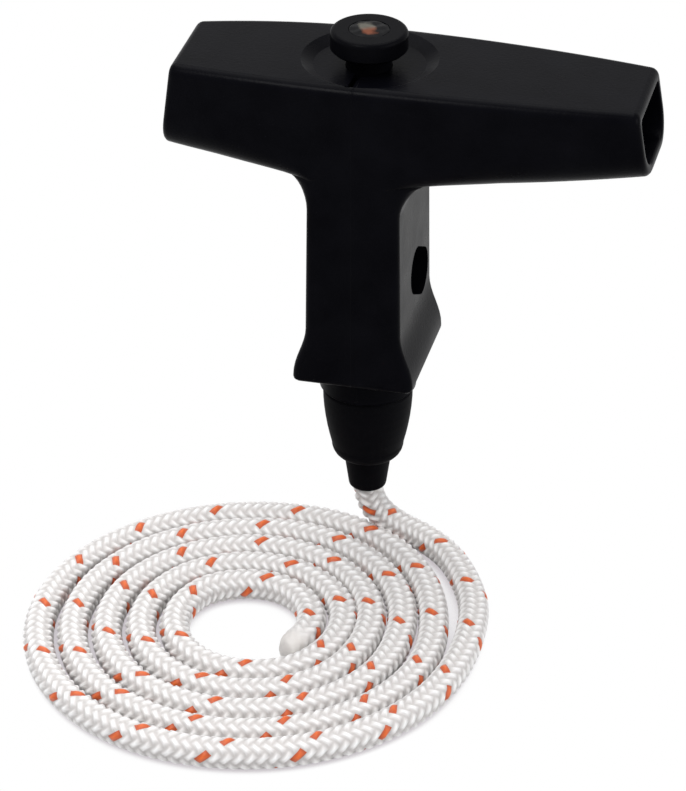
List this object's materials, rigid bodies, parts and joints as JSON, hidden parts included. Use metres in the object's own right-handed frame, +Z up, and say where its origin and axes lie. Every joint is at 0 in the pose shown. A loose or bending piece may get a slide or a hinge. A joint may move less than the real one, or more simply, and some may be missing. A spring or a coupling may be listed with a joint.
{
  "type": "recoil starter handle",
  "caption": "Moulded T-shaped pull handle with hollow arms, a flared stem, a mushroom cap over a damper, a rubber rope nozzle and a flat coil of braided starter rope.",
  "frame": {"origin": "on the rope's axis, in the flat underside of the stem, where the seat collar begins", "axes": "+Z up along the rope and the stem, +X along the longer arm, -Y the front"},
  "size_m": [0.1033, 0.0906, 0.1044],
  "materials": {
    "grip": "satin",
    "cap": "satin",
    "elastomer": "matte",
    "rubber": "matte",
    "rope": "matte"
  },
  "bodies": {
    "root": {"grip": "grip", "cap": "cap", "damper": "elastomer", "nozzle": "rubber", "rope_core": "rope", "rope_lead": "rope", "rope_coil": "rope"}
  },
  "joints": []
}
